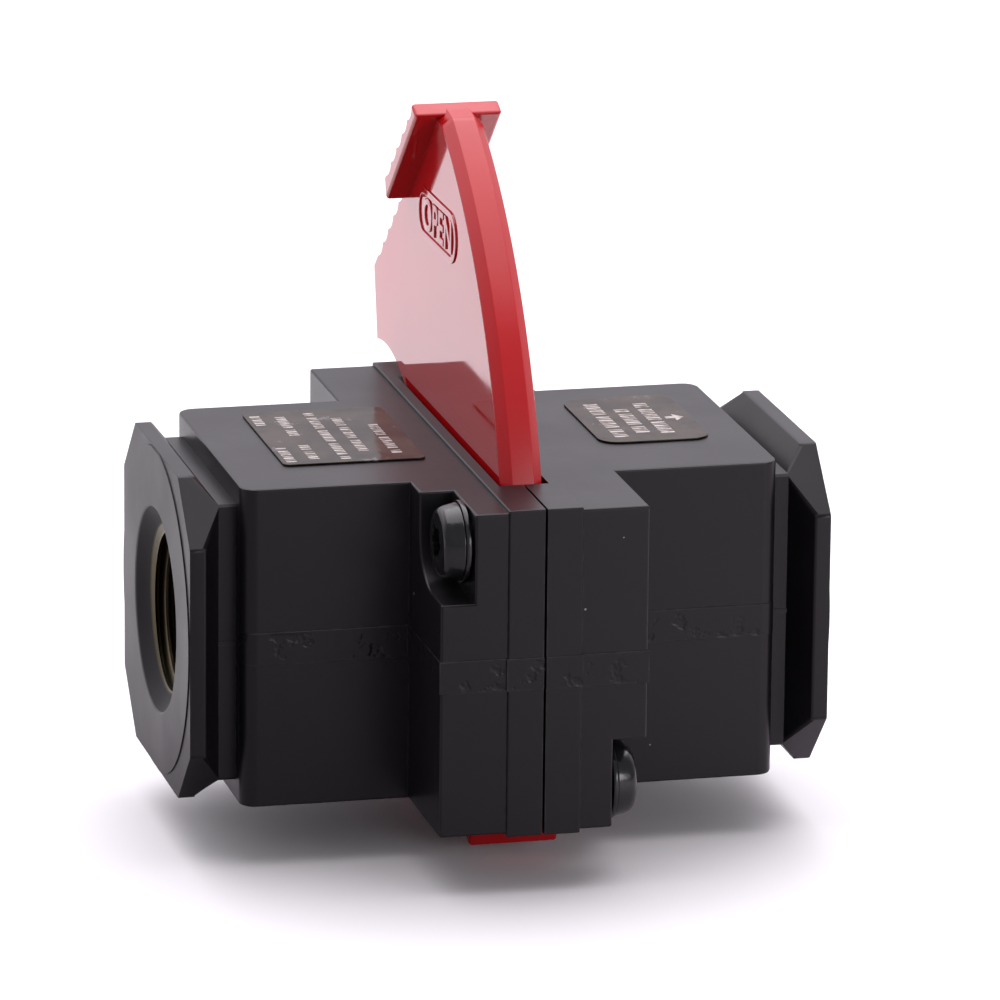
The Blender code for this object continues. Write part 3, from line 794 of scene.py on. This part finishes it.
slide = add_plate()
upper_pad = add_pad()
put_in_place(upper_pad, (-PAD_SLOPE, 0, 0))
lower_pad = copy_piece(upper_pad, "lower_pad")
flip_over(lower_pad)
combine(slide, upper_pad, "UNION")
combine(slide, lower_pad, "UNION")
clean_mesh(slide)
slide.name = "red_slide"
axis_y = frame["joints"][0]["pos_m"][1]
put_in_place(slide, (-SWING_HALF, 0, 0), (0, axis_y, 0))
combine(slide, add_rod("flow_hole", -5 * MM, 5 * MM, PASSAGE_R))
for raised in add_mark():
    combine(slide, raised, "UNION")
cut_vent(slide)
clean_mesh(slide)
settle_normals(slide)


def make_red_acetal():
    """Deep glossy red; the chamfered rim, which the mould's edge left duller, is rougher."""
    finish, tree, shader, place = start_material("red_acetal", IOR=1.5, Coat_Roughness=0.04)
    colour = blend_colours(tree, noise(tree, place, 90.0), (0.42, 0.0045, 0.0065, 1), (0.5, 0.006, 0.009, 1))
    speck = use_group(tree, dust, Scale=210.0, Amount=0.06).outputs["Speck"]
    colour = blend_colours(tree, maths(tree, "MULTIPLY", speck, 0.5), colour, (0.8, 0.55, 0.55, 1))
    tree.links.new(colour, shader.inputs["Base Color"])
    split = add_node(tree, "ShaderNodeSeparateXYZ")
    tree.links.new(place, split.inputs[0])
    from_axis = off_axis(tree, maths(tree, "SUBTRACT", split.outputs[1], axis_y), split.outputs[2])
    on_rim = ramp(tree, from_axis, 0.0640, 0.0646)
    gloss = ramp(tree, noise(tree, place, 140.0, 4.0, 0.6), 0.3, 0.8, 0.035, 0.09)
    rough = maths(tree, "ADD", gloss, maths(tree, "MULTIPLY", on_rim, 0.25))
    tree.links.new(rough, shader.inputs["Roughness"])
    coat = maths(tree, "MULTIPLY", maths(tree, "SUBTRACT", 1.0, on_rim), 0.2)
    tree.links.new(coat, shader.inputs["Coat Weight"])
    add_bump(tree, shader, noise(tree, place, 55.0, 1.0), 0.12, 0.0004)
    return finish


set_finish(slide, make_red_acetal())
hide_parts("shutoff_slide")
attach(slide, "slide")


# ---------------------------------------------------------------- seats, O-rings and pins
# Between the castings and the slide: two white acetal seat rings pressed on the slide by
# rubber O-rings, and two ground steel pins that line the halves up. Hidden once clamped.


def refinish(node, finish):
    for place in frame["nodes"][node].material_slots:
        place.material = finish


def make_seat_plastic():
    finish, tree, shader, place = start_material("white_seat_acetal", IOR=1.48)
    grain = noise(tree, place, 240.0, 3.0)
    colour = blend_colours(tree, grain, (0.62, 0.60, 0.55, 1), (0.74, 0.73, 0.69, 1))
    tree.links.new(colour, shader.inputs["Base Color"])
    tree.links.new(ramp(tree, grain, 0.3, 0.7, 0.28, 0.42), shader.inputs["Roughness"])
    add_bump(tree, shader, grain, 0.15, 0.0001)
    return finish


def make_rubber():
    finish, tree, shader, place = start_material("black_nitrile", IOR=1.5)
    bloom = noise(tree, place, 500.0, 4.0)
    colour = blend_colours(tree, bloom, (0.012, 0.012, 0.012, 1), (0.03, 0.03, 0.032, 1))
    tree.links.new(colour, shader.inputs["Base Color"])
    tree.links.new(ramp(tree, bloom, 0.3, 0.7, 0.5, 0.75), shader.inputs["Roughness"])
    add_bump(tree, shader, bloom, 0.2, 0.0001)
    return finish


def make_ground_steel():
    finish, tree, shader, place = start_material("ground_pin_steel")
    along = add_node(tree, "ShaderNodeMapping")
    along.inputs["Scale"].default_value = (9000, 500, 500)
    tree.links.new(place, along.inputs["Vector"])
    lines = noise(tree, along.outputs[0], 1.0, 2.0)
    colour = blend_colours(tree, lines, (0.42, 0.42, 0.43, 1), (0.6, 0.6, 0.61, 1))
    tree.links.new(colour, shader.inputs["Base Color"])
    tree.links.new(ramp(tree, lines, 0.3, 0.7, 0.2, 0.36), shader.inputs["Roughness"])
    shader.inputs["Metallic"].default_value = 1.0
    add_bump(tree, shader, lines, 0.2, 0.00005)
    return finish


seat_plastic = make_seat_plastic()
nitrile = make_rubber()
ground_steel = make_ground_steel()
for side in ("inlet", "outlet"):
    refinish(side + "_seat_ring", seat_plastic)
    refinish(side + "_o_ring", nitrile)
for pin in ("front_dowel", "rear_dowel"):
    refinish(pin, ground_steel)


# ---------------------------------------------------------------- clamp screws and washers
# Four black oxide pan head screws with six-lobe drives and captive washers. Two go in from
# each end, at opposite corners, through one half and into the other.

DRIVE_DEPTH = 1.5 * MM
SCREW_PITCH = 0.8 * MM
GROOVE_TURNS = 17
WASHER_R = 4.95 * MM
WASHER_EDGE = 0.12 * MM


def add_screw(head_face, under_head, tip):
    """A screw on the X axis with its head towards the inlet."""
    profile = [
        (head_face, 3.1 * MM), (head_face + 0.06 * MM, 3.5 * MM), (head_face + 0.2 * MM, 3.83 * MM),
        (head_face + 0.42 * MM, 4.08 * MM), (head_face + 0.72 * MM, 4.26 * MM),
        (head_face + 1.1 * MM, 4.4 * MM), (under_head - 0.22 * MM, 4.7 * MM),
        (under_head - 0.06 * MM, 4.68 * MM), (under_head, 4.55 * MM), (under_head, 2.5 * MM),
        (tip - 1.25 * MM, 2.5 * MM), (tip, 1.25 * MM),
    ]
    screw = add_turned("screw", profile, sides=72)
    drive = add_rod("drive", head_face - MM, head_face + DRIVE_DEPTH, 1.75 * MM, sides=48)
    for lobe in range(6):
        angle = lobe * math.pi / 3
        bump = add_rod("lobe", head_face - MM, head_face + DRIVE_DEPTH, 0.5 * MM,
                       y=1.8 * MM * math.cos(angle), z=1.8 * MM * math.sin(angle), sides=24)
        combine(drive, bump, "UNION")
    combine(screw, drive)
    combine(screw, add_thread_coil(
        "groove", 2.6 * MM, 2.08 * MM, 0.08 * MM, -6.5 * MM, GROOVE_TURNS, SCREW_PITCH, sides=48
    ))
    clean_mesh(screw)
    settle_normals(screw)
    return screw


def add_washer(x_from, x_to):
    """A plain washer with eased edges and a bore that clears the screw."""
    eased = ((0, 1), (1 / 3, 1 / 3), (1, 0))
    profile = [(x_from + WASHER_EDGE * inward, WASHER_R - WASHER_EDGE * down) for inward, down in eased]
    for inward, down in eased[::-1]:
        profile.append((x_to - WASHER_EDGE * inward, WASHER_R - WASHER_EDGE * down))
    washer = add_turned("washer", profile, sides=72)
    combine(washer, add_rod("hole", x_from - MM, x_to + MM, SCREW_HOLE_R, sides=72))
    clean_mesh(washer)
    settle_normals(washer)
    return washer


def make_black_steel():
    finish, tree, shader, place = start_material("black_oxide_steel", IOR=1.5)
    edge = use_group(tree, edge_wear_and_highlight, Radius=0.00018, Breakup=1500.0).outputs["Edge"]
    speck = use_group(tree, dust, Scale=520.0, Amount=0.22).outputs["Speck"]
    mottle = noise(tree, place, 700.0, 3.0)
    colour = blend_colours(tree, mottle, (0.004, 0.004, 0.0045, 1), (0.011, 0.011, 0.012, 1))
    # Corners lightened to grey: partly rubbed oxide, partly a painted edge highlight.
    colour = blend_colours(tree, maths(tree, "MULTIPLY", edge, 0.45), colour, (0.16, 0.16, 0.17, 1))
    colour = blend_colours(tree, maths(tree, "MULTIPLY", speck, 0.8), colour, (0.8, 0.8, 0.8, 1))
    tree.links.new(colour, shader.inputs["Base Color"])
    tree.links.new(ramp(tree, mottle, 0.3, 0.7, 0.14, 0.26), shader.inputs["Roughness"])
    tree.links.new(maths(tree, "MULTIPLY", edge, 0.6), shader.inputs["Metallic"])
    add_bump(tree, shader, noise(tree, place, 380.0, 2.0), 0.25, 0.00012)
    return finish


def place_copy(piece, name, node, turn):
    """A copy with its own mesh, turned about Y and put on the axis of a CAD node."""
    twin = copy_piece(piece, name)
    low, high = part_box(node)
    put_in_place(twin, (0, turn, 0), (0, (low.y + high.y) / 2, (low.z + high.z) / 2))
    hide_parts(node)
    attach(twin, "valve_body")


black_steel = make_black_steel()
screw_low, screw_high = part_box("inlet_front_screw")
washer_low, washer_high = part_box("inlet_front_washer")
screw = add_screw(screw_low.x, washer_low.x - 0.03 * MM, screw_high.x)
washer = add_washer(washer_low.x, washer_high.x)
set_finish(screw, black_steel)
set_finish(washer, black_steel)
for side, turn in (("inlet", 0), ("outlet", math.pi)):
    for level in ("front", "rear"):
        place_copy(screw, f"{side}_{level}_clamp_screw", f"{side}_{level}_screw", turn)
        place_copy(washer, f"{side}_{level}_captive_washer", f"{side}_{level}_washer", turn)
bpy.data.objects.remove(screw)
bpy.data.objects.remove(washer)


# ---------------------------------------------------------------- labels
# Two stickers of glossy bronze foil on the barrels' tops, the wider one for the ratings
# and a round-cornered one for the vent. Their print is plain dashes and an arrow.

# Each row is its x in mm and its runs of print, each run its start in y and its length
RATING_ROWS = (
    (-24.9, ((13.2, 4.6), (-2.4, 6.6))), (-21.9, ((12.2, 8.6), (-1.6, 6.8))),
    (-18.1, ((13.4, 22.5),)), (-15.2, ((10.4, 17.0),)), (-11.4, ((6.6, 14.2),)),
)
VENT_ROWS = ((17.3, ((10.6, 16.2),)), (20.4, ((7.4, 11.6),)), (23.4, ((9.8, 14.8),)))
DASHES = (0.62, 0.3, 0.5, 0.28, 0.66, 0.4, 0.3, 0.55, 0.34, 0.6, 0.28)
DASH_GAP = 0.36
WORD_GAP = 1.0
PRINT_HALF = 0.02 * MM  # how far the print's two faces are from the film's top


def add_label_film(node, corner_r, name):
    low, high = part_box(node)
    film = add_block(name, low, high)
    round_edges(film, corner_r, 8, lambda a, b: abs(a.z - b.z) > 0.05 * MM)
    round_edges(film, 0.05 * MM, 2, lambda a, b: min(a.z, b.z) > high.z - 0.01 * MM, 60)
    clean_mesh(film)
    settle_normals(film)
    return film


def add_dashes(name, rows, height, top):
    """Rows of short dashes that run from back to front; each run has a start and a length in mm."""
    marks = []
    count = 0
    for x, runs in rows:
        for start, length in runs:
            done = 0.0
            while done < length:
                dash = DASHES[count % len(DASHES)]
                count += 1
                y = (start - done) * MM
                marks.append(add_block(
                    "dash", ((x - height / 2) * MM, y - dash * MM, top - PRINT_HALF),
                    ((x + height / 2) * MM, y, top + PRINT_HALF),
                ))
                done += dash + (DASH_GAP if count % 7 else WORD_GAP)
    return join_pieces(marks, name)


def join_pieces(marks, name):
    bpy.ops.object.select_all(action="DESELECT")
    for mark in marks:
        mark.select_set(True)
    bpy.context.view_layer.objects.active = marks[0]
    bpy.ops.object.join()
    marks[0].name = name
    marks[0].data.name = name
    return marks[0]


def add_arrow(tip_x, y, top):
    """A short fat arrow that points along the flow, out of the vented end."""
    low, high = top - PRINT_HALF, top + PRINT_HALF
    shaft = add_block("shaft", (tip_x - 2.3 * MM, y - 0.5 * MM, low), (tip_x - 1.2 * MM, y + 0.5 * MM, high))
    head = add_block("head", (tip_x - 1.2 * MM, y - 1.5 * MM, low), (tip_x, y + 1.5 * MM, high))
    pick(head, "VERT", lambda vert: vert.co.x > tip_x - 0.1 * MM)
    bpy.ops.transform.resize(value=(1, 0.02, 1), center_override=(tip_x, y, top))
    close_edit()
    return [shaft, head]


def make_foil(name, dark, light):
    finish, tree, shader, place = start_material(name, IOR=1.24)
    mottle = noise(tree, place, 150.0, 5.0, 0.65)
    colour = blend_colours(tree, ramp(tree, mottle, 0.35, 0.65), dark, light)
    rubbed = ramp(tree, noise(tree, place, 260.0, 4.0, 0.7), 0.6, 0.72)
    colour = blend_colours(tree, maths(tree, "MULTIPLY", rubbed, 0.6), colour, (0.22, 0.21, 0.22, 1))
    tree.links.new(colour, shader.inputs["Base Color"])
    tree.links.new(ramp(tree, mottle, 0.3, 0.7, 0.04, 0.14), shader.inputs["Roughness"])
    add_bump(tree, shader, noise(tree, place, 160.0, 2.0), 0.25, 0.0002)
    return finish


def make_print():
    finish, tree, shader, place = start_material("pale_print", Roughness=0.4)
    worn = ramp(tree, noise(tree, place, 900.0, 3.0), 0.42, 0.7)
    colour = blend_colours(tree, worn, (0.5, 0.47, 0.44, 1), (0.16, 0.13, 0.1, 1))
    tree.links.new(colour, shader.inputs["Base Color"])
    add_bump(tree, shader, worn, 0.2, 0.00005)
    return finish


rating_film = add_label_film("rating_label", 0.9 * MM, "rating_film")
vent_film = add_label_film("vent_label", 2.5 * MM, "vent_film")
print_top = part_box("vent_label")[1].z
rating_print = add_dashes("rating_print", RATING_ROWS, 1.25, print_top)
vent_print = add_dashes("vent_print", VENT_ROWS, 1.75, print_top)
vent_print = join_pieces([vent_print] + add_arrow(27.2 * MM, 2.4 * MM, print_top), "vent_print")
foil = make_foil("bronze_foil", (0.02, 0.012, 0.008, 1), (0.05, 0.036, 0.024, 1))
pale_print = make_print()
for film, node in ((rating_film, "rating_label"), (vent_film, "vent_label")):
    set_finish(film, foil)
    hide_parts(node)
    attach(film, "valve_body")
for marks in (rating_print, vent_print):
    set_finish(marks, pale_print)
    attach(marks, "valve_body")


# ---------------------------------------------------------------- floor, light and camera
# A pale floor, which the camera sees evenly pale but reflections and bounce light see with painted shade in
# front of and under the body, a wide soft light overhead and a low soft light from the front.

bpy.ops.object.select_all(action="DESELECT")
bpy.ops.mesh.primitive_plane_add(size=6, location=(0, 0, cad_low.z - 0.2 * MM))
floor = bpy.context.object
floor.name = "floor"
floor_finish, tree, shader, place = start_material("pale_floor", Roughness=0.6)
pale = blend_colours(tree, noise(tree, place, 3.0), (0.88, 0.88, 0.88, 1), (0.92, 0.92, 0.92, 1))
split = add_node(tree, "ShaderNodeSeparateXYZ")
tree.links.new(place, split.inputs[0])
# Painted shade: to all rays but the camera's, the floor is darker in front of and under the body and darkest
# to the left. This dims its reflections and the light it bounces, while behind the body it stays pale.
floor_shade_left = blend_colours(
    tree, ramp(tree, split.outputs[0], -0.03, 0.06), (0.32, 0.295, 0.32, 1), (0.72, 0.67, 0.72, 1)
)
behind = ramp(tree, split.outputs[1], -0.01, 0.07)
floor_shaded_off_camera = blend_colours(tree, behind, floor_shade_left, pale)
seen = add_node(tree, "ShaderNodeLightPath").outputs["Is Camera Ray"]
tree.links.new(blend_colours(tree, seen, floor_shaded_off_camera, pale), shader.inputs["Base Color"])
set_finish(floor, floor_finish)

world = bpy.data.worlds.new("studio")
bpy.context.scene.world = world
world.use_nodes = True
sky = world.node_tree
backdrop = sky.nodes["Background"]
direction = add_node(sky, "ShaderNodeSeparateXYZ")
sky.links.new(add_node(sky, "ShaderNodeTexCoord").outputs["Generated"], direction.inputs[0])
overhead = ramp(sky, direction.outputs[2], 0.24, 0.55, 0.85, 1.9)
behind = ramp(sky, direction.outputs[1], -0.2, 0.5, 0.35, overhead)
seen = add_node(sky, "ShaderNodeLightPath").outputs["Is Camera Ray"]
strength = add_node(sky, "ShaderNodeMix", data_type="FLOAT")
set_input(sky, strength, 0, seen)
set_input(sky, strength, 2, behind)
set_input(sky, strength, 3, 1.0)
tint = blend_colours(sky, seen, (1, 0.95, 1.03, 1), (1, 1, 1, 1))
sky.links.new(tint, backdrop.inputs["Color"])
sky.links.new(strength.outputs[0], backdrop.inputs["Strength"])


def add_soft_light(name, place, target, width, height, watts):
    lamp = bpy.data.lights.new(name, "AREA")
    lamp.shape = "RECTANGLE"
    lamp.size = width
    lamp.size_y = height
    lamp.energy = watts
    lamp.color = (1, 0.96, 1.0)
    holder = bpy.data.objects.new(name, lamp)
    bpy.context.scene.collection.objects.link(holder)
    holder.location = place
    aim = [b - a for a, b in zip(place, target)]
    holder.rotation_mode = "QUATERNION"
    holder.rotation_quaternion = Vector(aim).to_track_quat("-Z", "Y")


add_soft_light("overhead", (0.1, 0.2, 1.1), (0, 0, 0), 1.4, 1.4, 14)
add_soft_light("front_low", (0.42, -0.8, 0.2), (0, 0, 0.03), 0.4, 0.25, 2)

lens = bpy.data.cameras.new("camera")
lens.lens = 280.98
lens.sensor_width = 36
lens.clip_start = 0.01
lens.clip_end = 50
camera = bpy.data.objects.new("camera", lens)
bpy.context.scene.collection.objects.link(camera)
camera.location = (-0.21969, -0.90066, 0.26457)
camera.rotation_mode = "QUATERNION"
right = Vector((0.971277, -0.237759, 0.009699))
up = Vector((0.053499, 0.257899, 0.964693))
back = right.cross(up)
turn = camera.matrix_world.to_3x3()
turn.col[0], turn.col[1], turn.col[2] = right, up, back
camera.rotation_quaternion = turn.to_quaternion()
bpy.context.scene.camera = camera
bpy.context.scene.view_settings.view_transform = "Standard"
